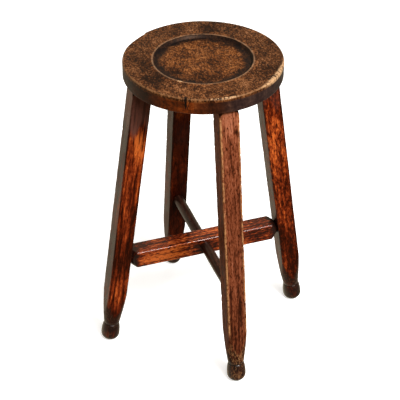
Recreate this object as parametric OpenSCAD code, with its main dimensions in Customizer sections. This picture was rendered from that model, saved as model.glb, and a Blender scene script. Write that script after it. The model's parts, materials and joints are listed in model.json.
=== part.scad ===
// Tall round-seat workshop stool in oak. A turned disc seat with a shallow dish
// stands on four square legs that splay outward and end in turned ball feet.
// A square rail joins the left and right legs, and one round rung runs from the
// front leg to the back leg straight through the middle of the rail.
// X runs along the rail, Y along the rung, Z up. The origin is on the floor
// under the middle of the seat. All sizes are in millimetres.

/* [Seat] */
// Outer diameter of the seat
seat_d = 296; // [280:1:330]
// Thickness of the seat at its rim
seat_t = 31; // [28:1:40]
// Height of the top of the seat above the floor
seat_h = 610; // [560:5:660]
// Diameter of the shallow dish turned into the seat
dish_d = 182; // [150:1:188]
// Depth of the dish
dish_depth = 6; // [3:0.5:7]
// Rounding of the upper and lower rim of the seat
rim_round = 3; // [1.5:0.5:5]

/* [Legs] */
// Side of the square leg
leg_w = 37.5; // [37.5:0.5:42]
// Distance from the centre to a leg's axis at the underside of the seat
leg_top_r = 120.5; // [118:0.5:124]
// Distance from the centre to the middle of a foot
foot_r = 199; // [180:1:215]
// Rounding worn onto the long edges of legs and rail
arris_r = 1.2; // [0.8:0.1:2]
// Length of the taper that turns the square leg into the round neck
taper_len = 86; // [60:1:110]

/* [Feet] */
// Greatest diameter of a foot
foot_d = 37.2; // [34:0.2:37.4]
// Height of the foot's greatest diameter above the floor
foot_z = 17.5; // [16:0.5:20]
// Height of the foot above its greatest diameter, up to the neck
foot_rise = 20; // [16:0.5:24]
// Diameter of the neck above the foot
neck_d = 30.6; // [28:0.2:32]

/* [Rail and rung] */
// Height of the rail's and the rung's axis above the floor
rail_z = 193; // [170:1:230]
// Side of the square rail
rail_w = 36; // [33:0.5:38]
// Diameter of the round rung
rung_d = 21.4; // [19:0.2:22]

/* [Joints] */
// Diameter of the round tenons on the legs and on the rail
tenon_d = 25; // [22:0.5:26]
// Depth of the sockets in the underside of the seat
seat_socket = 20; // [14:0.5:20]
// Depth of the sockets in the inner faces of the legs
leg_socket = 22; // [14:0.5:24]
// Gap all round between a tenon and its socket
fit_gap = 0.1; // [0.05:0.05:0.3]

/* [Hidden] */
$fn = 96;

seat_colour = [0.36, 0.22, 0.14];
leg_colour = [0.45, 0.16, 0.06];
rail_colour = [0.38, 0.14, 0.06];
rung_colour = [0.20, 0.11, 0.08];

// Clearance between a turned envelope and the square corners it does not touch
corner_room = 1;
// Larger than any sub-part, for cutting away half-spaces
far = 800;

seat_under_z = seat_h - seat_t;
splay = atan((foot_r - leg_top_r) / (seat_under_z - foot_z));
// Length of the leg's axis from the foot's greatest diameter to the seat
leg_len = (seat_under_z - foot_z) / cos(splay);

// Height above the foot's middle at which the taper clears the leg's corners
taper_top = foot_rise + taper_len;
leg_turn_r = corner_reach(leg_w) + corner_room;
rail_turn_r = corner_reach(rail_w) + corner_room;

// Inner face of a leg at the height of the rail and rung, from the centre
leg_axis_x = foot_r - (rail_z - foot_z) * tan(splay);
inner_face_x = leg_axis_x - leg_w / 2 / cos(splay);
socket_end_x = inner_face_x + leg_socket;
// The rail's rounded shoulder stops short of the sloping face of the leg
shoulder_gap = tenon_d / 2 * tan(splay) + 0.6;
shoulder_x = inner_face_x - shoulder_gap;

// Rounding of the foot's lower edge
foot_round = 15;
// Depth worn off the bottom of the turned foot, which leaves a flat to stand on
foot_wear = 1.4;
// Width of the small flat shoulder round each turned tenon
shoulder_w = 1;
// Width of the small ledge between the top of the foot and the neck
ledge_w = 0.6;
// Radius of the slow curve of the foot between its middle and the ledge
foot_rise_drop = (foot_d - neck_d) / 2 - ledge_w;
foot_curve_r = (foot_rise * foot_rise + foot_rise_drop * foot_rise_drop)
    / (2 * foot_rise_drop);
// Radius of the groove scored round the neck and its height above the foot
score_r = 0.8;
score_rise = 1.6;
// Small chamfer on the ends of tenons and rung
end_chamfer = 1.5;

// Distance from the middle of a square bar to its rounded corner
function corner_reach(side) = (side / 2 - arris_r) * sqrt(2) + arris_r;

// Distance from the centre of a sphere to the flat that cuts it at radius r
function flat_offset(sphere_r, r) = sqrt(sphere_r * sphere_r - r * r);

// Square outline with rounded corners
module soft_square(side) {
    inner = side - 2 * arris_r;
    square([side, inner], center = true);
    square([inner, side], center = true);
    for (x = [-1, 1], y = [-1, 1])
        translate([x, y] * inner / 2)
            circle(arris_r);
}

// Keeps the half of a turning outline that lies right of its axis
module right_of_axis() {
    intersection() {
        children();
        translate([0, -far / 2])
            square([far, 2 * far]);
    }
}

// Round pin with a chamfered end, along +Z
module tenon(d, length) {
    cylinder(d = d, h = length - end_chamfer);
    translate([0, 0, length - end_chamfer])
        cylinder(d1 = d, d2 = d - 2 * end_chamfer, h = end_chamfer);
}

// Half outline of the seat before its dish is turned
module seat_outline() {
    straight = seat_d / 2 - rim_round;
    square([straight, seat_t]);
    translate([0, rim_round])
        square([seat_d / 2, seat_t - 2 * rim_round]);
    for (y = [rim_round, seat_t - rim_round])
        translate([straight, y])
            circle(rim_round);
}

// Half outline of the dish: flat floor, sloping wall and a softened brink
module dish_outline() {
    floor_y = seat_t - dish_depth;
    wall_run = dish_depth * 0.45;
    brink = 1;
    polygon([
        [0, floor_y],
        [dish_d / 2 - wall_run, floor_y],
        [dish_d / 2, seat_t - brink],
        [dish_d / 2 + brink, seat_t],
        [dish_d / 2 + brink, seat_t + brink],
        [0, seat_t + brink]
    ]);
}

// Puts its children on the axis of the leg at +X, with the foot's middle at 0
module on_leg_axis() {
    translate([foot_r, 0, foot_z])
        rotate([0, -splay, 0])
            children();
}

// Half outline of the lathe work on a leg: foot, neck, taper and round top
module leg_turning() {
    foot_lower = foot_z + foot_wear - foot_round;
    top_centre = leg_len
        - flat_offset(leg_turn_r, tenon_d / 2 + shoulder_w);
    right_of_axis() {
        // Lower half of the foot with its rounded edge
        translate([0, -foot_z - foot_wear])
            square([foot_d / 2 - foot_round, foot_z + foot_wear]);
        translate([0, -foot_lower])
            square([foot_d / 2, foot_lower]);
        translate([foot_d / 2 - foot_round, -foot_lower])
            circle(foot_round);
        // Upper half of the foot, one slow curve up to the neck
        intersection() {
            translate([foot_d / 2 - foot_curve_r, 0])
                circle(foot_curve_r, $fn = 360);
            square([foot_d, foot_rise]);
        }
        // Neck, taper and the length where the leg stays square
        difference() {
            polygon([
                [0, 0],
                [neck_d / 2, 0],
                [neck_d / 2, foot_rise],
                [leg_turn_r, taper_top],
                [leg_turn_r, top_centre],
                [0, top_centre]
            ]);
            translate([neck_d / 2, foot_rise + score_rise])
                circle(score_r, $fn = 24);
        }
        // Round top, cut off where the tenon begins
        intersection() {
            translate([0, top_centre])
                circle(leg_turn_r);
            translate([0, top_centre])
                square([leg_turn_r, leg_len - top_centre]);
        }
    }
}

// A leg at +X. The socket in its inner face takes the rail or the rung.
module leg(socket_d) {
    difference() {
        union() {
            // Square stock turned on the lathe, cut level with floor and seat
            intersection() {
                on_leg_axis()
                    intersection() {
                        translate([0, 0, -foot_d])
                            linear_extrude(leg_len + 2 * foot_d)
                                soft_square(leg_w);
                        rotate_extrude()
                            leg_turning();
                    }
                translate([0, -far / 2, 0])
                    cube([far, far, seat_under_z]);
            }
            on_leg_axis()
                translate([0, 0, leg_len - tenon_d])
                    tenon(tenon_d, tenon_d + seat_socket);
        }
        translate([socket_end_x, 0, rail_z])
            rotate([0, -90, 0])
                cylinder(d = socket_d + 2 * fit_gap, h = leg_w + leg_socket);
    }
}

module leg_right() {
    color(leg_colour)
        leg(tenon_d);
}

module leg_left() {
    color(leg_colour)
        rotate([0, 0, 180])
            leg(tenon_d);
}

module leg_front() {
    color(leg_colour)
        rotate([0, 0, -90])
            leg(rung_d);
}

module leg_back() {
    color(leg_colour)
        rotate([0, 0, 90])
            leg(rung_d);
}

// Turned disc with a shallow dish and four slanted sockets underneath
module seat() {
    color(seat_colour)
        difference() {
            translate([0, 0, seat_under_z])
                rotate_extrude()
                    right_of_axis()
                        difference() {
                            seat_outline();
                            dish_outline();
                        }
            for (turn = [0, 90, 180, 270])
                rotate([0, 0, turn])
                    on_leg_axis()
                        translate([0, 0, leg_len - tenon_d])
                            cylinder(d = tenon_d + 2 * fit_gap,
                                     h = tenon_d + seat_socket);
        }
}

// Square rail between the left and right legs. Each end is turned to a
// chamfered shoulder and a round tenon, and the rung's hole runs through it.
module square_rail() {
    shoulder_end_r = tenon_d / 2 + shoulder_w;
    shoulder_len = rail_turn_r - shoulder_end_r;
    color(rail_colour)
        translate([0, 0, rail_z])
            difference() {
                rotate([0, 90, 0])
                    for (side = [0, 1])
                        mirror([0, 0, side]) {
                            intersection() {
                                linear_extrude(shoulder_x)
                                    soft_square(rail_w);
                                union() {
                                    cylinder(r = rail_turn_r,
                                             h = shoulder_x - shoulder_len);
                                    translate([0, 0, shoulder_x - shoulder_len])
                                        cylinder(r1 = rail_turn_r,
                                                 r2 = shoulder_end_r,
                                                 h = shoulder_len);
                                }
                            }
                            tenon(tenon_d, socket_end_x);
                        }
                rotate([90, 0, 0])
                    cylinder(d = rung_d + 2 * fit_gap, h = 2 * rail_w,
                             center = true);
            }
}

// Round rung from the front leg to the back leg, through the rail
module round_rung() {
    color(rung_colour)
        translate([0, 0, rail_z])
            for (turn = [-90, 90])
                rotate([turn, 0, 0])
                    tenon(rung_d, socket_end_x);
}

seat();
leg_left();
leg_right();
leg_front();
leg_back();
square_rail();
round_rung();
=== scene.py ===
import json
import math

import bpy
import numpy as np
from mathutils import Matrix, Vector, noise


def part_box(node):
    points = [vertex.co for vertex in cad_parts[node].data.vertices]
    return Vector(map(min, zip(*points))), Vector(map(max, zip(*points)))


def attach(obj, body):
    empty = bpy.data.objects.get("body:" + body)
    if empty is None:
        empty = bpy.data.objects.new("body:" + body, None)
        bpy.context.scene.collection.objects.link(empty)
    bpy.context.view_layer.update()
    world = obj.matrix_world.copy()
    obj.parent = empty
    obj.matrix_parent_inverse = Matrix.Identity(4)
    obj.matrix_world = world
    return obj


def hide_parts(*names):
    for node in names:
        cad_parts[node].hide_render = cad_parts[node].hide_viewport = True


# Looks of the tall round-seat oak stool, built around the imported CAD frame.
# Each wooden piece is remade as a dense mesh with worn edges, chips and an
# uneven hand-made surface, in the place of its CAD node, and gets an oak
# material of its own. Lengths are in metres in the CAD frame: X runs along the
# rail, Y along the rung, Z up. Directions round the seat are in degrees from +X.

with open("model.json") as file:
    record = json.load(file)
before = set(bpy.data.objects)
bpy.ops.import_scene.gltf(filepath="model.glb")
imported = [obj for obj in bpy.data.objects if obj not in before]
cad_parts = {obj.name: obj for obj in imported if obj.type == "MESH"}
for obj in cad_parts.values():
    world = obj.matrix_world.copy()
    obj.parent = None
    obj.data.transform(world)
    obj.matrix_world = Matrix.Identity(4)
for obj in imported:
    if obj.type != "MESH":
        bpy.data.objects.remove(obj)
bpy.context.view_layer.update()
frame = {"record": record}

MM = 0.001

# Sizes read from the CAD nodes
seat_low, seat_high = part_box("seat")
leg_low, leg_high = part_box("leg_right")
rail_low, rail_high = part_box("square_rail")
rung_low, rung_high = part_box("round_rung")
mounts = {m["name"]: Vector(m["pos_m"]) for m in frame["record"]["mounts"]}

SEAT_R = seat_high.x
SEAT_TOP = seat_high.z
SEAT_UNDER = seat_low.z
LEG_W = leg_high.y - leg_low.y
RAIL_W = rail_high.y - rail_low.y
RAIL_Z = (rail_low.z + rail_high.z) / 2
RUNG_R = (rung_high.x - rung_low.x) / 2
FLOOR_X = mounts["foot_right"].x

# Design sizes that the boxes don't show, as in the CAD source
LEG_TOP_X = 120.5 * MM
DISH_R = 91 * MM
DISH_DEPTH = 6 * MM
FOOT_R = 18.6 * MM
FOOT_Z = 17.5 * MM
FOOT_RISE = 20 * MM
FOOT_ROUND = 15 * MM
FOOT_WEAR = 1.4 * MM
LEDGE_W = 0.6 * MM
NECK_R = 15.3 * MM
SCORE_R = 0.8 * MM
SCORE_RISE = 1.6 * MM
TAPER_LEN = 86 * MM
TENON_R = 12.5 * MM
SHOULDER_W = 1 * MM
ARRIS_R = 1.2 * MM
SHOULDER_GAP = 0.6 * MM
TURN_ROOM = 1 * MM

# What a point of a piece can be marked with for its material
WOOD_MARKS = ("edge", "chip", "turned", "tone", "soil", "bare", "shine", "shadow_haze")

# The leg's axis: it leans in by the splay from the floor to the seat
splay = math.atan2(FLOOR_X - LEG_TOP_X, SEAT_UNDER)
leg_len = (SEAT_UNDER - FOOT_Z) / math.cos(splay)
leg_inner_x = (
    FLOOR_X - RAIL_Z * math.tan(splay) - LEG_W / 2 / math.cos(splay)
)
shoulder_x = leg_inner_x - TENON_R * math.tan(splay) - SHOULDER_GAP

# Sizes of the visual model only
FACE = LEG_W / 2
RAIL_ARRIS_R = 2.4 * MM
TENON_SHOWN = 5 * MM
SEAT_EDGE_R = 3 * MM
BRINK_R = 1.2 * MM
DISH_FILLET = 2.5 * MM


# ---------------------------------------------------------------- mesh tools

def fractal(points, size, octaves=3, seed=0.0):
    """Fractal noise of about -1 to 1 at each point, with features of that size."""
    shift = Vector((seed, -1.7 * seed, 2.3 * seed))
    sizes = (size,) * 3 if np.isscalar(size) else size
    scale = Vector(tuple(1 / s for s in sizes))
    return np.array([
        noise.fractal(Vector(p) * scale + shift, 1.0, 2.0, octaves)
        for p in points
    ])


def smooth_step(x, low, high):
    """0 below low, 1 above high, and a smooth ramp between them."""
    t = np.clip((x - low) / (high - low), 0, 1)
    return t * t * (3 - 2 * t)


def soft_min(a, b, blend):
    """The smaller of a and b, rounded over where they cross."""
    low = np.minimum(a, b)
    return low - blend * np.log(np.exp(-(a - low) / blend) + np.exp(-(b - low) / blend))


def spread(start, stop, step):
    """Evenly spaced values from start to just short of stop."""
    count = max(1, round(abs(stop - start) / step))
    return np.linspace(start, stop, count, endpoint=False)


def rings_to_object(name, rings, marks, place=None):
    """A closed mesh from rings of points (ring, point, xyz), with its marks.

    marks maps a name to one number a point, kept on the mesh for the material.
    place moves the mesh from the piece's own axes, which the grain follows,
    into the stool's.
    """
    rows, around, _ = rings.shape
    ends = np.stack([rings[0].mean(0), rings[-1].mean(0)])
    points = np.concatenate([rings.reshape(-1, 3), ends])
    start, stop = rows * around, rows * around + 1
    faces = []
    for row in range(rows - 1):
        here = row * around
        for i in range(around):
            j = (i + 1) % around
            faces.append((here + i, here + j, here + around + j, here + around + i))
    last = (rows - 1) * around
    for i in range(around):
        j = (i + 1) % around
        faces.append((j, i, start))
        faces.append((last + i, last + j, stop))
    mesh = bpy.data.meshes.new(name)
    mesh.from_pydata(points.tolist(), [], faces)
    grain = mesh.attributes.new("grain", "FLOAT_VECTOR", "POINT")
    grain.data.foreach_set("vector", points.astype(np.float32).reshape(-1))
    if place is not None:
        mesh.transform(place)
    for mark, values in marks.items():
        layer = mesh.attributes.new(mark, "FLOAT", "POINT")
        flat = np.concatenate([values.reshape(-1), values[0].mean(keepdims=True),
                               values[-1].mean(keepdims=True)])
        layer.data.foreach_set("value", flat.astype(np.float32))
    mesh.polygons.foreach_set("use_smooth", [True] * len(mesh.polygons))
    mesh.update()
    piece = bpy.data.objects.new(name, mesh)
    bpy.context.scene.collection.objects.link(piece)
    return piece


def square_ring(side, corner, per_side=18, per_corner=5):
    """Points round a square with rounded corners, counter-clockwise.

    Also gives each point's distance from the nearest corner, along the side,
    and the number of that corner.
    """
    half = side / 2 - corner
    points, reach, number = [], [], []
    for quarter in range(4):
        c = round(math.cos(quarter * math.pi / 2))
        s = round(math.sin(quarter * math.pi / 2))
        for i in range(per_corner):
            a = (i + 0.5) / per_corner * math.pi / 2
            x, y = half + corner * math.cos(a), half + corner * math.sin(a)
            points.append((c * x - s * y, s * x + c * y))
            reach.append(0.0)
            number.append(quarter)
        for i in range(per_side + 1):
            even = i / per_side
            t = 0.5 * even + 0.25 * (1 - math.cos(math.pi * even))
            x, y = half * (1 - 2 * t), side / 2
            points.append((c * x - s * y, s * x + c * y))
            reach.append(2 * half * min(t, 1 - t))
            number.append(quarter if t < 0.5 else (quarter + 1) % 4)
    return np.array(points), np.array(reach), np.array(number)


def patches(points, spots):
    """How much lighter (+) or darker (-) the wood is at each point.

    Each spot is a centre, a size along each axis and an amount.
    """
    total = np.zeros(points.shape[:-1])
    for centre, size, amount in spots:
        away = (points - np.array(centre)) / np.array(size)
        total += amount * np.exp(-(away ** 2).sum(-1))
    return total


def spot(centre, size, amount):
    """A lighter (+) or darker (-) spot for patches, its lengths in millimetres."""
    return tuple(c * MM for c in centre), tuple(c * MM for c in size), amount


def turned_bar(side, arris, heights, turned_r, wear, seed):
    """A square bar turned on a lathe, along +Z.

    turned_r is the lathe's radius at each of heights. wear scales the rounding
    and the chips along the four long edges. Marks: edge is 1 on a long edge and
    on the line where turned meets flat, chip is 1 in a chip. On the front leg the
    pale line where turned meets flat is partly wear and partly a painted highlight.
    """
    outline, reach, number = square_ring(side, arris)
    flat_r = np.hypot(outline[:, 0], outline[:, 1])
    rows, around = len(heights), len(outline)
    turned = np.repeat(turned_r[:, None], around, 1)
    square = np.repeat(flat_r[None], rows, 0)
    radius = soft_min(square, turned, 0.3 * MM)

    # Long edges: rubbed down unevenly, with chips broken out here and there
    rub = np.zeros((rows, around))
    chip = np.zeros((rows, around))
    for k in range(4):
        line = np.stack([np.full(rows, 0.31 * k), np.full(rows, 0.17 * k), heights], 1)
        rubbed = smooth_step(fractal(line, 22 * MM, 3, seed + k), -0.5, 0.7)
        broken = smooth_step(fractal(line, 5 * MM, 2, seed + 9 + k), 0.32, 0.6)
        mine = number == k
        rub[:, mine] = rubbed[:, None]
        chip[:, mine] = broken[:, None]
    near = np.exp(-(reach / (2.2 * MM)) ** 2)[None]
    close = np.exp(-(reach / (1.3 * MM)) ** 2)[None]
    is_square = smooth_step(turned - square, -0.3 * MM, 1.2 * MM)
    radius -= is_square * wear * (0.45 * MM * rub * near + 0.8 * MM * chip * close)

    # Hand-made unevenness over the whole surface
    unit = outline / flat_r[:, None]
    rings = np.empty((rows, around, 3))
    rings[..., :2] = radius[..., None] * unit[None]
    rings[..., 2] = heights[:, None]
    swell = fractal(rings.reshape(-1, 3), (45 * MM, 45 * MM, 90 * MM), 2, seed + 20)
    radius += 0.22 * MM * swell.reshape(rows, around)
    rings[..., :2] = radius[..., None] * unit[None]

    # On the front leg the pale seam line is partly wear and partly a painted highlight
    seam = np.exp(-((turned - square) / (1.1 * MM)) ** 2)
    edge = np.maximum(is_square * np.exp(-(reach / (3.0 * MM)) ** 2)[None], 0.6 * seam)
    marks = {
        "edge": edge,
        "chip": is_square * chip * close,
        "turned": smooth_step(square - turned, 0, 0.8 * MM),
    }
    return rings, marks


# -------------------------------------------------------------------- pieces

def leg_profile():
    """Heights along a leg from its foot's middle, and the lathe's radius there."""
    turn_r = (LEG_W / 2 - ARRIS_R) * math.sqrt(2) + ARRIS_R + TURN_ROOM
    top_flat = math.sqrt(turn_r ** 2 - (TENON_R + SHOULDER_W) ** 2)
    top_centre = leg_len - top_flat
    low_centre = FOOT_Z + FOOT_WEAR - FOOT_ROUND
    drop = FOOT_R - NECK_R - LEDGE_W
    curve_r = (FOOT_RISE ** 2 + drop ** 2) / (2 * drop)
    score = FOOT_RISE + SCORE_RISE
    slope = (turn_r - NECK_R) / TAPER_LEN

    under = np.linspace(0, 1, 14)[:-1]
    dome = np.linspace(0, 1, 26)
    heights = np.concatenate([
        -low_centre - FOOT_ROUND * np.cos(under * math.pi / 2),
        spread(-low_centre, FOOT_RISE - 0.4 * MM, 1.6 * MM),
        [FOOT_RISE - 0.4 * MM, FOOT_RISE, FOOT_RISE + 0.3 * MM],
        np.linspace(score - SCORE_R, score + SCORE_R, 7),
        spread(score + 1.6 * SCORE_R, FOOT_RISE + TAPER_LEN, 1.6 * MM),
        spread(FOOT_RISE + TAPER_LEN, top_centre, 2.2 * MM),
        top_centre + top_flat * np.sin(dome * math.pi / 2),
        [leg_len + 0.2 * MM, leg_len + 4 * MM],
    ])
    radii = []
    for s in heights:
        if s < -low_centre:
            r = FOOT_R - FOOT_ROUND + math.sqrt(
                max(0, FOOT_ROUND ** 2 - (s + low_centre) ** 2))
        elif s < 0:
            r = FOOT_R
        elif s <= FOOT_RISE:
            r = FOOT_R - curve_r + math.sqrt(curve_r ** 2 - s ** 2)
        elif s <= leg_len:
            r = NECK_R + slope * (s - FOOT_RISE)
            if abs(s - score) < SCORE_R:
                r -= math.sqrt(SCORE_R ** 2 - (s - score) ** 2)
            if s > top_centre:
                r = math.sqrt(max(turn_r ** 2 - (s - top_centre) ** 2, 0))
            r = min(r, turn_r)
        else:
            r = TENON_R
        radii.append(r)
    return heights, np.array(radii)


def mark_leg(rings, marks, spots, shade):
    """Adds a leg's marks: where it is darker, its dirt and painted shade, where it is bare and
    shiny, and the painted haze in the seat's shadow.
    """
    x, s = rings[..., 0], rings[..., 2]
    turned = marks["turned"]
    spotted = patches(rings, spots)
    low_down = smooth_step(-s, -90 * MM, -40 * MM)
    shaded_top_dome = turned * (s > leg_len - 40 * MM)
    score_shade = np.exp(-(((s - FOOT_RISE - SCORE_RISE) / (2 * MM)) ** 2))
    foot = smooth_step(-s, -34 * MM, -18 * MM)
    foot_top = np.exp(-((s - 12 * MM) / (8 * MM)) ** 2)

    # Darker round the socket of the rail or rung and low down, with painted shade in the score
    # above the foot and on the turned top under the seat
    rail_at = (RAIL_Z - FOOT_Z) / math.cos(splay)
    joint = ((-LEG_W / 2, 0, rail_at), (12 * MM, 22 * MM, 26 * MM), -0.35)
    marks["tone"] = spotted + patches(rings, [joint]) - 0.3 * shaded_top_dome - 0.5 * score_shade
    marks["tone"] -= low_down * (0.10 + 0.25 * turned)

    # The soil mark: dirt on the foot and lower taper, and painted shade in the score and on the
    # turned top under the seat
    dirt_and_shade = np.maximum.reduce([0.85 * foot, score_shade, shaded_top_dome, 0.5 * low_down * turned])
    marks["soil"] = dirt_and_shade * (1 - np.clip(spotted, 0, 0.8))
    marks["shine"] = smooth_step(-s, -32 * MM, -20 * MM)
    marks["bare"] = turned * smooth_step(-s, -100 * MM, -60 * MM)
    marks["bare"] *= (1 - score_shade) * (1 - 0.8 * foot_top)

    # Painted haze in the seat's shadow below the seat, with a wavy lower edge where the shadow
    # ends
    wavy = 10 * MM * np.sin(x / (4 * MM)) + 8 * MM * np.sin(x / (9 * MM))
    marks["shadow_haze"] = shade * smooth_step(s + wavy, leg_len - 98 * MM, leg_len - 72 * MM)


def make_leg(node, turn, wear, seed, spots, shade=0.15):
    """A leg whose foot lies in the direction turn, in degrees from +X."""
    heights, radii = leg_profile()
    rings, marks = turned_bar(LEG_W, ARRIS_R, heights, radii, wear, seed)
    place = (
        Matrix.Rotation(math.radians(turn), 4, "Z")
        @ Matrix.Translation((FLOOR_X - FOOT_Z * math.tan(splay), 0, FOOT_Z))
        @ Matrix.Rotation(-splay, 4, "Y")
    )
    # The foot is worn flat on the floor, and the shoulder meets the seat
    lean = np.array(place.to_3x3())[2]
    world_z = rings @ lean + place.translation.z
    below = np.minimum(world_z, 0)
    is_shoulder = (heights <= leg_len)[:, None]
    above = np.where(is_shoulder, np.maximum(world_z - SEAT_UNDER - 0.3 * MM, 0), 0)
    rings[..., 2] -= (below + above) / lean[2]
    mark_leg(rings, marks, spots, shade)
    return rings_to_object("wood_" + node, rings, marks, place)


def make_rail(seed, spots):
    """The square rail, made along +Z and laid along X."""
    turn_r = (RAIL_W / 2 - ARRIS_R) * math.sqrt(2) + ARRIS_R + TURN_ROOM
    end_r = TENON_R + SHOULDER_W
    shoulder_len = turn_r - end_r
    half = np.concatenate([
        spread(0, shoulder_x - shoulder_len, 2.2 * MM),
        np.linspace(shoulder_x - shoulder_len, shoulder_x, 16),
        [shoulder_x + 0.2 * MM, leg_inner_x + TENON_SHOWN],
    ])
    heights = np.concatenate([-half[:0:-1], half])
    far = np.abs(heights)
    radii = np.clip(end_r + shoulder_x - far, end_r, turn_r)
    radii[far > shoulder_x + 0.1 * MM] = TENON_R
    rings, marks = turned_bar(RAIL_W, RAIL_ARRIS_R, heights, radii, 0.12, seed)

    # Darker and dirty at the ends and where the rung goes in
    out = np.abs(rings[..., 2])
    near_end = smooth_step(out, shoulder_x - 20 * MM, shoulder_x - 5 * MM)
    marks["tone"] = patches(rings, spots) - 0.45 * near_end
    ends = smooth_step(out, shoulder_x - 18 * MM, shoulder_x - 7 * MM)
    by_rung = patches(rings, [((0, -RAIL_W / 2, 0), (18 * MM, 12 * MM, 13 * MM), 0.9)])
    marks["soil"] = np.maximum(0.95 * ends, by_rung)
    marks["bare"] = marks["shine"] = marks["shadow_haze"] = np.zeros_like(out)
    place = Matrix.Translation((0, 0, RAIL_Z)) @ Matrix.Rotation(math.pi / 2, 4, "Y")
    return rings_to_object("wood_square_rail", rings, marks, place)


def make_rung(seed):
    """The round rung, made along +Z and laid along Y."""
    end = leg_inner_x + TENON_SHOWN
    heights = np.linspace(-end, end, 150)
    angle = np.linspace(0, 2 * math.pi, 56, endpoint=False)
    unit = np.stack([np.cos(angle), np.sin(angle)], 1)
    rings = np.empty((len(heights), len(angle), 3))
    rings[..., :2] = RUNG_R * unit[None]
    rings[..., 2] = heights[:, None]
    # Shaved by hand: long shallow facets and a slightly uneven thickness
    swell = fractal(rings.reshape(-1, 3), (9 * MM, 9 * MM, 70 * MM), 2, seed)
    radius = RUNG_R + 0.3 * MM * swell.reshape(rings.shape[:2])
    rings[..., :2] = radius[..., None] * unit[None]
    marks = dict.fromkeys(WOOD_MARKS, np.zeros(rings.shape[:2]))
    place = Matrix.Translation((0, 0, RAIL_Z)) @ Matrix.Rotation(-math.pi / 2, 4, "X")
    return rings_to_object("wood_round_rung", rings, marks, place)


def arc(cx, cz, radius, start, stop, count):
    """Points (r, z) on an arc, from start to stop in degrees."""
    a = np.radians(np.linspace(start, stop, count))
    return np.stack([cx + radius * np.cos(a), cz + radius * np.sin(a)], 1)


def line(start, stop, step):
    """Points (r, z) from start to just short of stop."""
    count = max(1, round(math.dist(start, stop) / step))
    t = np.linspace(0, 1, count, endpoint=False)[:, None]
    return np.array(start) * (1 - t) + np.array(stop) * t


# The split in the seat's rim: a V that opens at the top edge, as degrees round
# the seat at the top and at the bottom of each of its two sides
SPLIT_SIDES = ((-121.6, -121.4), (-118.0, -121.0))


def on_ring(x, y, wide, deep, amount):
    """A spot on the flat ring round the dish, in millimetres."""
    return spot((x, y, SEAT_TOP / MM), (wide, deep, 9), amount)


def in_dish(x, y, wide, deep, amount):
    """A spot on the floor of the dish, in millimetres."""
    return spot((x, y, (SEAT_TOP - DISH_DEPTH) / MM), (wide, deep, 9), amount)


# Where the seat's wood is lighter or darker
SEAT_SPOTS = (
    # Stains at the back and at the left
    on_ring(43, 113, 20, 14, -0.45),
    on_ring(-12, 118, 24, 12, -0.30),
    on_ring(-100, -20, 30, 44, -0.36),
    on_ring(-112, -48, 24, 16, -0.25),
    # Scrubbed paler along the front
    on_ring(-68, -98, 30, 20, 0.20),
    on_ring(20, -118, 60, 22, 0.16),
    # Dark places and two worn ones on the floor of the dish
    in_dish(-56, -24, 11, 16, -0.55),
    in_dish(-30, -44, 15, 13, -0.50),
    in_dish(4, -64, 40, 12, -0.45),
    in_dish(12, -3, 11, 12, -0.32),
    in_dish(-56, 14, 18, 22, 0.22),
    in_dish(45, -40, 28, 18, 0.18),
    # A dark knock in the worn right edge
    on_ring(99, -103, 3.5, 3.5, -0.9),
    # The wedge of clean wood inside the split
    spot((-72.5, -129, SEAT_TOP / MM - 13), (2.5, 2.5, 7), 0.5),
)


def seat_profile():
    """Half outline (r, z) of the seat, from the dish's middle round to the underside."""
    floor_z = SEAT_TOP - DISH_DEPTH
    wall_r = DISH_R - 0.4 * DISH_DEPTH
    fillet_r = wall_r - DISH_FILLET
    flat_end = SEAT_R - SEAT_EDGE_R
    wall_foot = (wall_r + 0.2 * MM, floor_z + 2.2 * MM)
    wall_head = (DISH_R - 0.2 * MM, SEAT_TOP - BRINK_R)
    return np.concatenate([
        line((2 * MM, floor_z + 0.6 * MM), (fillet_r, floor_z), 3.5 * MM),
        arc(fillet_r, floor_z + DISH_FILLET, DISH_FILLET, -90, -25, 7),
        line(wall_foot, wall_head, MM),
        arc(DISH_R + BRINK_R, SEAT_TOP - BRINK_R, BRINK_R, 180, 90, 7),
        line((DISH_R + 2 * BRINK_R, SEAT_TOP), (flat_end - 6 * MM, SEAT_TOP), 2.2 * MM),
        line((flat_end - 6 * MM, SEAT_TOP), (flat_end, SEAT_TOP), 1.2 * MM),
        arc(flat_end, SEAT_TOP - SEAT_EDGE_R, SEAT_EDGE_R, 90, 0, 10),
        line((SEAT_R, SEAT_TOP - SEAT_EDGE_R - MM), (SEAT_R, SEAT_UNDER + SEAT_EDGE_R), 1.2 * MM),
        arc(flat_end, SEAT_UNDER + SEAT_EDGE_R, SEAT_EDGE_R, 0, -90, 8),
        line((flat_end - MM, SEAT_UNDER), (2 * MM, SEAT_UNDER), 6 * MM),
    ])


def seat_directions():
    """Directions of the mesh's points round the seat, closer together at the split."""
    split_at = sum(a + b for a, b in SPLIT_SIDES) / 4
    near_split = split_at + np.arange(-5, 5, 0.3)
    others = np.arange(-180, 180, 0.75)
    others = others[np.abs(others - split_at) > 5.2]
    return np.sort(np.concatenate([near_split, others]))


def sector(degrees, middle, width):
    """1 in one direction round the seat, 0 away from it."""
    turn = (degrees - middle + 180) % 360 - 180
    return np.exp(-(turn / width) ** 2)


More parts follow.
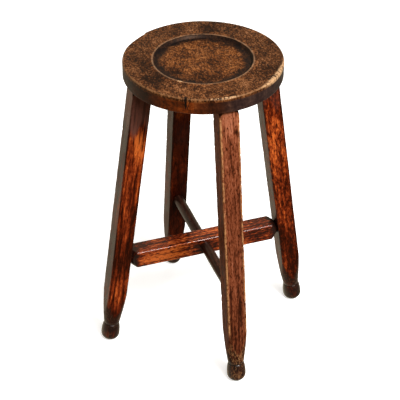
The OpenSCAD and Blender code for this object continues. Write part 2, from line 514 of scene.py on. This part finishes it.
def wear_seat(r, z, degrees, noise_at):
    """Puts the rim out of true, hollows the scrubbed top and knocks a flat in it."""
    outer = smooth_step(r, SEAT_R - 25 * MM, SEAT_R)
    r = r + 0.5 * MM * noise_at(85 * MM, 2, 0) * outer
    is_top = z > SEAT_TOP - DISH_DEPTH - MM
    hollow = 0.28 * MM * noise_at(38 * MM, 3, 3) * smooth_step(SEAT_R - r, 0, 8 * MM)
    z = z + np.where(is_top, hollow, 0)
    # The flat is at the far left and ends sharply towards the back
    knock = smooth_step(degrees, 118, 120.5) * (1 - smooth_step(degrees, 128, 146))
    r = r - 2.6 * MM * knock * outer * smooth_step(z, SEAT_UNDER, SEAT_TOP)
    return r, z


def nick_seat(r, z, degrees, noise_at):
    """Nicks along the upper edge, closest together at the front."""
    at_edge = np.exp(-(((r - SEAT_R + 1.2 * MM) / (2.6 * MM)) ** 2
                       + ((z - SEAT_TOP + 0.8 * MM) / (2.2 * MM)) ** 2))
    front = sector(degrees, -97, 12)
    nick = at_edge * smooth_step(noise_at(5 * MM, 2, 5), 0.5 - 0.42 * front, 0.75 - 0.3 * front)
    r = r - 0.9 * MM * nick
    z = z - 0.7 * MM * nick
    # A row of short slanting cuts in the front edge
    for turn in np.arange(-105, -91, 2.7):
        slant = 2 * (z - SEAT_TOP) / (10 * MM)
        cut = np.exp(-((degrees - turn - slant) / 0.45) ** 2) * smooth_step(at_edge, 0.2, 0.6)
        nick = np.maximum(nick, cut)
        r = r - 0.5 * MM * cut
    return r, z, at_edge, nick


def split_seat(r, z, degrees):
    """The split: two narrow grooves, the left one wider towards the top edge."""
    split = np.zeros_like(r)
    height = np.clip((z - SEAT_UNDER) / (SEAT_TOP - SEAT_UNDER), 0, 1)
    on_rim = smooth_step(r, SEAT_R - 9 * MM, SEAT_R - 3 * MM)
    for side, (top, bottom) in enumerate(SPLIT_SIDES):
        centre = bottom + (top - bottom) * height + 0.15 * np.sin(height * 23 + top)
        away = np.radians(degrees - centre) * SEAT_R
        widening = 2.2 * height ** 2 if side == 0 else 0
        split = np.maximum(split, np.exp(-(away / ((0.7 + widening) * MM)) ** 2))
    split = split * on_rim * (z > SEAT_UNDER + 0.5 * MM) * smooth_step(height, 0.1, 0.5)
    return r - 1.6 * MM * split, split


def dish_marks(rings, flat_r, is_top, noise_at):
    """Where the dish is dirty, where a pale painted highlight runs along its upturned edge, and
    where its surroundings are warmer.
    """
    from_middle = np.hypot(rings[..., 0] + MM, rings[..., 1] - MM)
    ragged = 5 * MM * noise_at(14 * MM, 3, 8)
    dirt = smooth_step(from_middle + ragged, 69 * MM, 81 * MM)
    dirt *= smooth_step(DISH_R + 1.5 * MM - flat_r, 0, 1.2 * MM)
    # A pale painted highlight along the dish's upturned edge
    brink = np.exp(-(((flat_r - DISH_R - 2.2 * MM) / (1.1 * MM)) ** 2)) * is_top
    halo = smooth_step(flat_r, DISH_R, DISH_R + 2 * MM)
    halo *= smooth_step(DISH_R + 18 * MM - flat_r, 0, 13 * MM) * is_top
    on_floor = smooth_step(DISH_R - 4 * MM - flat_r, 0, 3 * MM) * is_top
    return dirt, brink, halo, on_floor


def seat_glints():
    """Painted highlights as small pale spots: one on the dish's edge, four between the front
    cuts.
    """
    glints = [spot((-64.5, -64.5, SEAT_TOP / MM), (5, 3.5, 4), 1.6)]
    glint_r = (SEAT_R - 2.5 * MM) / MM
    for angle in (-103.5, -99.5, -96.5, -93.5):
        turn = math.radians(angle)
        centre = (glint_r * math.cos(turn), glint_r * math.sin(turn), SEAT_TOP / MM)
        glints.append(spot(centre, (1.6, 1.6, 3), 0.8))
    return glints


def make_seat(seed):
    """The turned seat: dish, worn ring, rounded rim with a split, underside."""
    profile = seat_profile()
    directions = seat_directions()
    rows, around = len(profile), len(directions)
    flat_r = np.repeat(profile[:, :1], around, 1)
    flat_z = np.repeat(profile[:, 1:], around, 1)
    degrees = np.repeat(directions[None], rows, 0)
    cos, sin = np.cos(np.radians(degrees)), np.sin(np.radians(degrees))
    points = np.stack([flat_r * cos, flat_r * sin, flat_z], -1).reshape(-1, 3)

    def noise_at(size, octaves, shift):
        """Noise at each point of the seat, with features of that size."""
        return fractal(points, size, octaves, seed + shift).reshape(rows, around)

    r, z = wear_seat(flat_r, flat_z, degrees, noise_at)
    r, z, at_edge, nick = nick_seat(r, z, degrees, noise_at)
    r, split = split_seat(r, z, degrees)
    rings = np.stack([r * cos, r * sin, z], -1)

    is_top = flat_z > SEAT_TOP - DISH_DEPTH - MM
    dirt, brink, halo, on_floor = dish_marks(rings, flat_r, is_top, noise_at)
    side = smooth_step(SEAT_TOP - 4 * MM - z, 0, 4 * MM) * (flat_r > SEAT_R - 8 * MM)
    low_edge = np.exp(-(((r - SEAT_R) / (3 * MM)) ** 2 + ((z - SEAT_UNDER) / (3 * MM)) ** 2))
    outer_ring = is_top * smooth_step(r, SEAT_R - 11 * MM, SEAT_R - 4 * MM)
    knock = spot((99, -103, SEAT_TOP / MM), (3, 3, 4), 1.0)

    # Warmer in the dish, round it, on the front and left of the split
    warm = on_floor + 0.35 * is_top * sector(degrees, -115, 50)
    warm += 0.8 * halo * (0.4 + 0.6 * (sector(degrees, 60, 60) + sector(degrees, -150, 40)))
    warm += side * (sector(degrees, -128, 15) + 0.8 * sector(degrees, -117.5, 1.5))
    # Bare on the right edge; painted highlights as pale spots at the front cuts and glints
    bare = at_edge * (sector(degrees, -42, 20) + 0.9 * sector(degrees, -93, 9))
    bare += 0.75 * outer_ring * sector(degrees, -44, 15) + patches(rings, seat_glints())
    marks = {
        "edge": at_edge,
        "chip": np.maximum(nick, patches(rings, [knock])),
        "split": split,
        "dirt": dirt,
        "brink": brink,
        "warm": np.clip(warm, 0, 1),
        "cool": side * (1 - smooth_step(-degrees, 84, 100)) * (degrees < 0),
        "side": side,
        "bare": np.clip(bare, 0, 1),
        "tone": patches(rings, SEAT_SPOTS) + 0.3 * low_edge,
    }
    # Turned round so that the faces look outward
    rings = rings[:, ::-1]
    marks = {name: values[:, ::-1] for name, values in marks.items()}
    return rings_to_object("wood_seat", rings, marks)


# ----------------------------------------------------------------- materials

def shaded(colour, amount):
    """The colour made darker, as a share of itself."""
    return tuple(amount * c for c in colour)


# Stains, each from its darkest to its lightest tone
RED = ((0.020, 0.0030, 0.0008), (0.055, 0.0065, 0.0012), (0.115, 0.0135, 0.0028),
       (0.23, 0.032, 0.006), (0.42, 0.075, 0.013), (0.66, 0.14, 0.024))
DARK_RED = tuple(shaded(colour, 0.55) for colour in RED)
PINK = ((0.026, 0.0065, 0.0028), (0.078, 0.0180, 0.0068), (0.160, 0.0390, 0.0150),
        (0.235, 0.0640, 0.0270), (0.350, 0.1150, 0.0560))
UMBER = ((0.004, 0.002, 0.0015), (0.012, 0.0045, 0.0028), (0.026, 0.0090, 0.0055),
         (0.050, 0.0170, 0.0100), (0.100, 0.0400, 0.0260))
SEAT_BROWN = ((0.010, 0.0032, 0.0015), (0.036, 0.0105, 0.0032), (0.080, 0.025, 0.007),
              (0.132, 0.046, 0.014), (0.23, 0.092, 0.036))
SEAT_ORANGE = ((0.012, 0.0035, 0.0015), (0.050, 0.013, 0.003), (0.105, 0.029, 0.006),
               (0.170, 0.050, 0.010), (0.27, 0.095, 0.025))
RIM_BROWN = ((0.008, 0.003, 0.002), (0.016, 0.0055, 0.003), (0.028, 0.0080, 0.0035),
             (0.046, 0.012, 0.005), (0.09, 0.028, 0.011))
RIM_FLAME = ((0.016, 0.004, 0.002), (0.050, 0.010, 0.002), (0.120, 0.021, 0.003),
             (0.210, 0.041, 0.006), (0.32, 0.080, 0.014))
RIM_SLATE = ((0.010, 0.005, 0.005), (0.020, 0.010, 0.009), (0.034, 0.017, 0.014),
             (0.052, 0.027, 0.020), (0.10, 0.055, 0.036))

# Single colours of worn wood and dirt, and of painted haze, highlights and shade
TAN = (0.46, 0.21, 0.085)
# Bare wood, also the colour of the seat's painted highlights
BARE_OAK_AND_HIGHLIGHT = (0.50, 0.29, 0.145)
RUBBED_OAK = (0.20, 0.095, 0.040)
PALE_GRIT = (0.30, 0.135, 0.058)
# The pale painted highlight along the dish's edge
BRINK_HIGHLIGHT = (0.27, 0.150, 0.080)
# Painted haze that lifts the seat's shadow on the legs
SHADOW_HAZE = (0.185, 0.075, 0.055)
# Dirt, also the painted shade in the back leg's score and turned top
SOIL_AND_SHADE = (0.040, 0.016, 0.010)
GRIME = (0.015, 0.0055, 0.003)
# Dark dirt, also the painted shade in the other legs' scores and turned tops
SOOT_AND_SHADE = (0.0095, 0.0045, 0.0033)
DISH_DIRT = (0.006, 0.0045, 0.0045)
NICK_DIRT = (0.012, 0.007, 0.006)
SPLIT_DIRT = (0.006, 0.004, 0.003)

# Tint of what the polished legs and rails and the waxed seat reflect
POLISH_TINT = (1.0, 0.32, 0.14)
WAX_TINT = (1, 0.6, 0.4)
COAT_ROUGHNESS = 0.16


class Shader:
    """Short names for building one material's nodes."""

    def __init__(self, name):
        self.material = bpy.data.materials.new(name)
        self.material.use_nodes = True
        self.tree = self.material.node_tree
        self.bsdf = self.tree.nodes["Principled BSDF"]
        grain = self.tree.nodes.new("ShaderNodeAttribute")
        grain.attribute_name = "grain"
        self.place = grain.outputs["Vector"]

    def add(self, kind, settings=None, **inputs):
        """A new node. Each input is a number, a colour or another's output.

        An input is named with _ for a space, or by its number as i0, i1 and so on.
        """
        node = self.tree.nodes.new("ShaderNode" + kind)
        for key, value in (settings or {}).items():
            setattr(node, key, value)
        for key, value in inputs.items():
            by_number = key[0] == "i" and key[1:].isdigit()
            which = int(key[1:]) if by_number else key.replace("_", " ")
            self.feed(node.inputs[which], value)
        return node

    def feed(self, socket, value):
        """Sets a socket to a number or colour, or links an output to it."""
        if isinstance(value, bpy.types.NodeSocket):
            self.tree.links.new(value, socket)
        elif isinstance(value, tuple) and len(value) == 3 and socket.type == "RGBA":
            socket.default_value = (*value, 1)
        else:
            socket.default_value = value

    def math(self, operation, a, b, clamp=False):
        """One operation on a and b. clamp keeps the result from 0 to 1."""
        node = self.add("Math", {"operation": operation, "use_clamp": clamp}, i0=a, i1=b)
        return node.outputs[0]

    def fit(self, value, low, high, to_low=0.0, to_high=1.0):
        """value, smoothly remapped from low..high to to_low..to_high."""
        node = self.add("MapRange", {"interpolation_type": "SMOOTHSTEP"},
                        Value=value, From_Min=low, From_Max=high,
                        To_Min=to_low, To_Max=to_high)
        return node.outputs[0]

    def mix(self, factor, a, b):
        """Colour a turned into colour b by factor."""
        node = self.add("Mix", {"data_type": "RGBA"}, i0=factor, i6=a, i7=b)
        return node.outputs[2]

    def noise(self, scale, stretch, detail, rough, warp, shift):
        """Noise from 0 to 1, scale features a metre, stretched by an axis's 1/stretch."""
        mapping = self.add("Mapping", {}, Vector=self.place,
                           Scale=stretch, Location=(shift, -shift, 2 * shift))
        node = self.add("TexNoise", {}, Vector=mapping.outputs[0], Scale=scale,
                        Detail=detail, Roughness=rough, Distortion=warp)
        return node.outputs[0]

    def mark(self, name):
        """A number kept on the mesh's points."""
        return self.add("Attribute", {"attribute_name": name}).outputs["Fac"]

    def ramp(self, value, stops):
        """value turned into a colour, through evenly spaced stops."""
        node = self.add("ValToRGB", {}, Fac=value)
        marks = node.color_ramp.elements
        while len(marks) < len(stops):
            marks.new(0.5)
        for i, colour in enumerate(stops):
            marks[i].position = i / (len(stops) - 1)
            marks[i].color = (*colour, 1)
        return node.outputs[0]

    def total(self, start, *terms):
        """start plus each term's number, as (output, weight), taken about 0.5."""
        value = start - sum(0.5 * weight for _, weight in terms)
        for output, weight in terms:
            node = self.add("Math", {"operation": "MULTIPLY_ADD"},
                            i0=output, i1=weight, i2=value)
            value = node.outputs[0]
        return value

    def finish(self, colour, roughness, height, bump_m, coat, tint, level):
        """Wires the surface. bump_m is the real height of the relief."""
        bump = self.add("Bump", {}, Height=height, Distance=bump_m, Strength=1.0)
        shader = self.bsdf
        self.feed(shader.inputs["Base Color"], colour)
        self.feed(shader.inputs["Roughness"], roughness)
        self.feed(shader.inputs["Normal"], bump.outputs[0])
        shader.inputs["Specular IOR Level"].default_value = level
        shader.inputs["Specular Tint"].default_value = (*tint, 1)
        shader.inputs["Coat Weight"].default_value = coat
        shader.inputs["Coat Roughness"].default_value = COAT_ROUGHNESS
        return self.material


def stained_oak(name, stops, worn, seed, soil=SOIL_AND_SHADE, tone=0.5, streaks=1.0, dashes=1.0,
                patchy=1.0, wear=0.6, mottle=0.15, coat=0.1, polish=0.4, level=0.16,
                gloss=0.30):
    """Polished stained oak with its grain along Z.

    stops are the wood's colours from darkest to lightest, worn its colour on
    the rubbed edges, and soil the colour of its dirt and of the painted shade
    in the score and on the turned top under the seat. On the front leg worn
    also paints the turned seam, partly wear and partly a painted highlight.
    streaks, dashes and patchy are the strengths of the long dark lines, the
    short ones and the broad patches. wear and mottle are how much of the edges
    and of the turned foot shows worn wood. polish is the coat on the shiny
    places, coat that on the rest, and gloss is the roughness.
    """
    m = Shader(name)
    broad = m.noise(14, (1, 1, 0.35), 3, 0.6, 0.4, seed)
    blotch = m.noise(60, (1, 1, 0.4), 4, 0.65, 0.8, seed + 3)
    streak = m.noise(230, (1, 1, 0.05), 3, 0.6, 0.35, seed + 5)
    dash = m.noise(400, (1, 1, 0.30), 2, 0.6, 0.5, seed + 7)
    pore = m.noise(1300, (1, 1, 0.08), 2, 0.6, 0.0, seed + 9)
    fleck = m.noise(260, (1, 1, 0.45), 4, 0.7, 1.0, seed + 11)

    # Stained wood with dark lines, dashes and pores
    lightness = m.total(tone, (broad, 1.2 * patchy), (blotch, 1.1 * patchy),
                        (streak, 1.6 * streaks), (dash, 1.4 * dashes))
    lightness = m.math("ADD", lightness, m.mark("tone"))
    base = m.ramp(lightness, stops)
    lines = m.math("MULTIPLY", m.fit(streak, 0.44, 0.34), 0.75 * streaks, True)
    base = m.mix(lines, base, stops[0])
    specks = m.math("MULTIPLY", m.fit(dash, 0.42, 0.33), 0.8 * dashes, True)
    base = m.mix(specks, base, stops[0])
    pores = m.math("MULTIPLY", m.fit(pore, 0.42, 0.32), 0.6)
    base = m.mix(pores, base, shaded(stops[0], 0.4))

    # Painted haze in the seat's shadow, dirt with painted shade, and bare flecks
    hazed_in_shadow = m.math("MULTIPLY", m.mark("shadow_haze"), m.fit(streak, 0.40, 0.50, 0.5, 0.9))
    base = m.mix(hazed_in_shadow, base, SHADOW_HAZE)
    # Dirt, and painted shade where the soil mark lies in the score and under the seat
    soiled_and_shaded = m.math("MULTIPLY", m.mark("soil"), m.fit(blotch, 0.38, 0.60, 1.0, 0.7))
    base = m.mix(soiled_and_shaded, base, soil)
    mottled = m.math("MULTIPLY", m.mark("bare"), m.fit(fleck, 0.50, 0.62, 0.0, mottle))
    base = m.mix(mottled, base, shaded(TAN, 0.75))

    # Edges rubbed to the worn colour, with chips; on the front leg the tan along the turned seam
    # is partly a painted highlight
    rubbed = m.math("MULTIPLY", m.fit(m.mark("edge"), 0.30, 0.9), m.fit(fleck, 0.40, 0.58))
    rubbed = m.math("MULTIPLY", rubbed, wear, True)
    base = m.mix(rubbed, base, worn)
    chipped = m.math("MULTIPLY", m.fit(m.mark("chip"), 0.25, 0.8), wear, True)
    base = m.mix(chipped, base, shaded(worn, 0.75))

    rough = m.math("ADD", m.fit(blotch, 0.3, 0.7, gloss - 0.05, gloss + 0.12),
                   m.math("MULTIPLY", rubbed, 0.2))
    rough = m.math("SUBTRACT", rough, m.math("MULTIPLY", m.mark("soil"), 0.10))
    rough = m.math("SUBTRACT", rough, m.math("MULTIPLY", m.mark("shine"), 0.08))
    relief = m.total(0.0, (streak, 0.5), (dash, 0.3), (pore, 0.2))
    m.finish(base, rough, relief, 0.25 * MM, coat, POLISH_TINT, level)
    if polish:
        shiny = m.math("ADD", m.mark("shine"), m.math("MULTIPLY", m.mark("soil"), 0.5))
        m.feed(m.bsdf.inputs["Coat Weight"], m.fit(shiny, 0, 1, coat, polish))
    return m.material


def seat_oak(name):
    """Brown oak of the seat: speckled, worn pale at its edges, dirt in the dish."""
    m = Shader(name)
    broad = m.noise(19, (1, 1, 0.5), 4, 0.6, 0.6, 1)
    blotch = m.noise(85, (1, 0.7, 0.5), 4, 0.65, 0.8, 2)
    speck = m.noise(240, (1, 0.6, 0.3), 3, 0.7, 0.6, 4)
    grit = m.noise(390, (1, 0.75, 0.5), 1, 0.5, 0.4, 6)
    band = m.noise(55, (1, 1, 2.5), 4, 0.7, 0.8, 8)

    # The speckled top
    lightness = m.total(0.465, (broad, 1.7), (blotch, 1.6), (speck, 2.4), (grit, 1.2))
    lightness = m.math("ADD", lightness, m.mark("tone"))
    base = m.mix(m.mark("warm"), m.ramp(lightness, SEAT_BROWN), m.ramp(lightness, SEAT_ORANGE))
    dots = m.math("MULTIPLY", m.fit(grit, 0.49, 0.39), m.fit(blotch, 0.66, 0.40, 0.35, 0.85))
    base = m.mix(dots, base, shaded(SEAT_BROWN[0], 0.7))
    pale = m.math("MULTIPLY", m.fit(grit, 0.58, 0.72), m.fit(lightness, 0.15, 0.60, 0.0, 0.5))
    base = m.mix(pale, base, PALE_GRIT)

    # The rim: brown, orange near the split and slate towards the right
    calm = m.total(0.46, (broad, 1.6), (blotch, 0.9), (band, 1.6), (speck, 0.9))
    calm = m.math("ADD", calm, m.mark("tone"))
    glow = m.mix(m.mark("warm"), m.ramp(calm, RIM_BROWN), m.ramp(calm, RIM_FLAME))
    glow = m.mix(m.mark("cool"), glow, m.ramp(calm, RIM_SLATE))
    base = m.mix(m.mark("side"), base, glow)

    # Dirt in the dish, and a painted highlight: the pale line along its edge
    soil = m.math("MULTIPLY", m.mark("dirt"), m.fit(blotch, 0.30, 0.65, 1.0, 0.82))
    base = m.mix(soil, base, DISH_DIRT)
    brink = m.math("MULTIPLY", m.mark("brink"), m.fit(blotch, 0.3, 0.6, 0.35, 0.85))
    base = m.mix(brink, base, BRINK_HIGHLIGHT)

    # The worn outer edge, its bare places and pale painted highlights, nicks and split
    edge = m.fit(m.mark("edge"), 0.35, 0.95)
    rubbed = m.math("MULTIPLY", edge, m.fit(blotch, 0.35, 0.60, 0.25, 0.85))
    base = m.mix(rubbed, base, RUBBED_OAK)
    bare = m.math("MULTIPLY", m.fit(m.mark("bare"), 0.10, 0.75), m.fit(speck, 0.36, 0.52))
    base = m.mix(bare, base, BARE_OAK_AND_HIGHLIGHT)
    base = m.mix(m.fit(m.mark("chip"), 0.25, 0.7), base, NICK_DIRT)
    base = m.mix(m.fit(m.mark("split"), 0.15, 0.7), base, SPLIT_DIRT)

    rough = m.fit(blotch, 0.3, 0.7, 0.36, 0.5)
    relief = m.total(0.0, (speck, 0.6), (grit, 0.4))
    return m.finish(base, rough, relief, 0.3 * MM, 0.0, WAX_TINT, 0.15)


# ---------------------------------------------------------------- the stool

FACE_MM = FACE / MM

# Lighter and darker spots on each leg, in its own axes: X away from the stool's
# middle, Z up the leg from the middle of its foot
LEGS = {
    "leg_right": dict(turn=0, seed=11.0, wear=0.5, spots=[
        # Painted light: a brighter patch just below where the seat's shadow ends
        spot((0, -FACE_MM, 405), (16, 14, 62), 0.34),
        spot((2, -FACE_MM, 215), (14, 14, 30), 0.10),
        spot((0, -FACE_MM, 110), (20, 14, 70), -0.22),
    ]),
    "leg_back": dict(turn=90, seed=23.0, wear=0.4, spots=[
        spot((-FACE_MM, 2, 408), (12, 12, 12), 0.50),
    ]),
    "leg_left": dict(turn=180, seed=37.0, wear=0.6, shade=0.9, spots=[
        # Painted light: a bright patch just below where the seat's shadow ends
        spot((-4, FACE_MM, 450), (14, 12, 34), 1.0),
        spot((2, FACE_MM, 375), (18, 12, 60), 0.12),
        spot((0, FACE_MM, 190), (20, 12, 50), -0.20),
        spot((3, FACE_MM, 105), (10, 12, 34), 0.26),
        spot((13, 12, -2), (9, 9, 8), 0.5),
    ]),
    "leg_front": dict(turn=-90, seed=53.0, wear=1.2, shade=0.0, spots=[
        spot((FACE_MM, -2, 545), (14, 18, 26), 0.42),
        spot((FACE_MM, 1, 524), (9, 5, 7), 0.40),
        spot((FACE_MM, 10, 520), (9, 4, 6), -0.70),
        spot((FACE_MM, 0, 130), (14, 26, 90), -0.22),
    ]),
}
LEG_LOOKS = {
    "leg_right": dict(stops=RED, worn=GRIME, soil=SOOT_AND_SHADE, polish=0.8, streaks=0.6,
                      dashes=1.2, wear=0.7, tone=0.30),
    "leg_back": dict(stops=DARK_RED, worn=GRIME, streaks=0.3, dashes=0.5, wear=0.8,
                     tone=0.37, coat=0.0, level=0.12),
    "leg_left": dict(stops=RED, worn=GRIME, soil=SOOT_AND_SHADE, polish=0.8, streaks=1.3,
                     dashes=0.6, wear=0.5, tone=0.33),
    "leg_front": dict(stops=PINK, worn=TAN, soil=SOOT_AND_SHADE, polish=0.8, streaks=0.9,
                      dashes=1.1, patchy=0.45, wear=1.0, tone=0.51, coat=0.0,
                      level=0.04, gloss=0.45, mottle=0.9),
}
# On the rail's front face: X down, Z along the rail
RAIL_SPOTS = [
    spot((2, -RAIL_W / 2 / MM, -85), (18, 12, 42), 0.75),
    spot((0, -RAIL_W / 2 / MM, -5), (18, 12, 28), -0.45),
    spot((0, -RAIL_W / 2 / MM, 110), (18, 12, 30), -0.35),
]
RAIL_SEED = 71.0
RUNG_SEED = 83.0
SEAT_SEED = 97.0


def dress(piece, material, node):
    """Gives a piece its material and puts it in the place of its CAD node."""
    piece.data.materials.append(material)
    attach(piece, "root")
    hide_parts(node)


def make_stool():
    """Every piece, with its material."""
    for node, choice in LEGS.items():
        leg = make_leg(node, **choice)
        oak = stained_oak("oak_" + node, seed=choice["seed"], **LEG_LOOKS[node])
        dress(leg, oak, node)

    rail_oak = stained_oak("oak_rail", RED, GRIME, RAIL_SEED, soil=SOOT_AND_SHADE, tone=0.48,
                           streaks=0.9, dashes=1.6, wear=0.0, coat=1.0, polish=0,
                           gloss=0.17)
    dress(make_rail(RAIL_SEED, RAIL_SPOTS), rail_oak, "square_rail")
    rung_oak = stained_oak("oak_rung", UMBER, GRIME, RUNG_SEED, streaks=0.6, dashes=0.5,
                           wear=0.0, coat=0.4, polish=0)
    dress(make_rung(RUNG_SEED), rung_oak, "round_rung")
    dress(make_seat(SEAT_SEED), seat_oak("oak_seat"), "seat")


make_stool()


# ------------------------------------------------------- floor, light, camera

KEY_FROM = (0.20, -0.59, 0.78)
BACK_FILL_FROM = (0.60, 0.75, 0.30)
GLINT_PLACE = (0.53, -1.366, 1.922)
GLINT_AIM = (0, 0, 0.35)
# The world is palest where this points, low behind the stool and to the left
WORLD_PALE = (-0.30, 0.74, -0.60)
WORLD_COLOUR = (1, 0.88, 0.64, 1)

# The camera stands in front of the stool, to the left and above the seat, and
# looks down and to the right of +Y
CAMERA_PLACE = (-0.7113, -2.0265, 1.8032)
VIEW_DOWN = math.radians(35.097)
VIEW_RIGHT = math.radians(19.186)
LENS_MM = 120.6
SENSOR_MM = 36


def glowing_white(name, grey, emission):
    """A matt white that also shines a little by itself."""
    m = Shader(name)
    m.bsdf.inputs["Base Color"].default_value = (grey, grey, grey, 1)
    m.bsdf.inputs["Roughness"].default_value = 0.9
    m.bsdf.inputs["Specular IOR Level"].default_value = 0.1
    m.bsdf.inputs["Emission Color"].default_value = (1, 1, 1, 1)
    m.bsdf.inputs["Emission Strength"].default_value = emission
    return m.material


def new_background(name, material):
    """The object just added, in its material and shedding no light on the stool."""
    thing = bpy.context.active_object
    thing.name = name
    thing.data.materials.append(material)
    thing.visible_diffuse = False
    thing.visible_glossy = False
    return thing


def make_stage():
    """A pale floor, and a white dome far behind everything."""
    bpy.ops.mesh.primitive_plane_add(size=30, location=(0, 0, 0))
    floor = new_background("floor", glowing_white("pale_floor", 0.93, 0.55))
    bpy.ops.mesh.primitive_uv_sphere_add(segments=48, ring_count=24, radius=13)
    dome = new_background("backdrop", glowing_white("white_backdrop", 0.9, 1.0))
    dome.visible_shadow = False


def add_light(name, data, turn):
    """A light object from its data, turned by the quaternion."""
    light = bpy.data.objects.new(name, data)
    light.rotation_euler = turn.to_euler()
    bpy.context.scene.collection.objects.link(light)
    return light


def area_light(name, place, aim, size, power):
    """A rectangular lamp at place that shines at aim."""
    data = bpy.data.lights.new(name, "AREA")
    data.shape = "RECTANGLE"
    data.size, data.size_y = size
    data.energy = power
    light = add_light(name, data, (Vector(aim) - Vector(place)).to_track_quat("-Z", "Y"))
    light.location = place


def soft_sun(name, toward, energy, width_deg, glossy=True):
    """A wide, soft sun that shines from the direction toward."""
    data = bpy.data.lights.new(name, "SUN")
    data.energy = energy
    data.angle = math.radians(width_deg)
    light = add_light(name, data, Vector(toward).to_track_quat("Z", "Y"))
    light.visible_glossy = glossy


def studio_world():
    """Dim in front and above, paler low behind the stool to the left."""
    world = bpy.data.worlds.new("studio")
    world.use_nodes = True
    tree = world.node_tree
    place = tree.nodes.new("ShaderNodeTexCoord")
    lean = tree.nodes.new("ShaderNodeVectorMath")
    lean.operation = "DOT_PRODUCT"
    lean.inputs[1].default_value = WORLD_PALE
    fade = tree.nodes.new("ShaderNodeMapRange")
    fade.inputs["From Min"].default_value = -0.2
    fade.inputs["From Max"].default_value = 0.9
    fade.inputs["To Min"].default_value = 0.16
    fade.inputs["To Max"].default_value = 0.66
    tree.links.new(place.outputs["Generated"], lean.inputs[0])
    tree.links.new(lean.outputs["Value"], fade.inputs["Value"])
    background = tree.nodes["Background"]
    background.inputs["Color"].default_value = WORLD_COLOUR
    tree.links.new(fade.outputs["Result"], background.inputs["Strength"])
    return world


def make_camera():
    """The camera, at the photograph's viewing angle."""
    data = bpy.data.cameras.new("camera")
    data.lens = LENS_MM
    data.sensor_width = SENSOR_MM
    camera = bpy.data.objects.new("camera", data)
    camera.location = CAMERA_PLACE
    camera.rotation_euler = (math.pi / 2 - VIEW_DOWN, 0, -VIEW_RIGHT)
    bpy.context.scene.collection.objects.link(camera)
    return camera


make_stage()
soft_sun("key", KEY_FROM, energy=2.9, width_deg=50)
soft_sun("back_fill", BACK_FILL_FROM, energy=0.8, width_deg=60, glossy=False)
area_light("glint", GLINT_PLACE, GLINT_AIM, size=(0.55, 0.25), power=34)
bpy.context.scene.world = studio_world()
bpy.context.scene.view_settings.view_transform = "Standard"
bpy.context.scene.camera = make_camera()
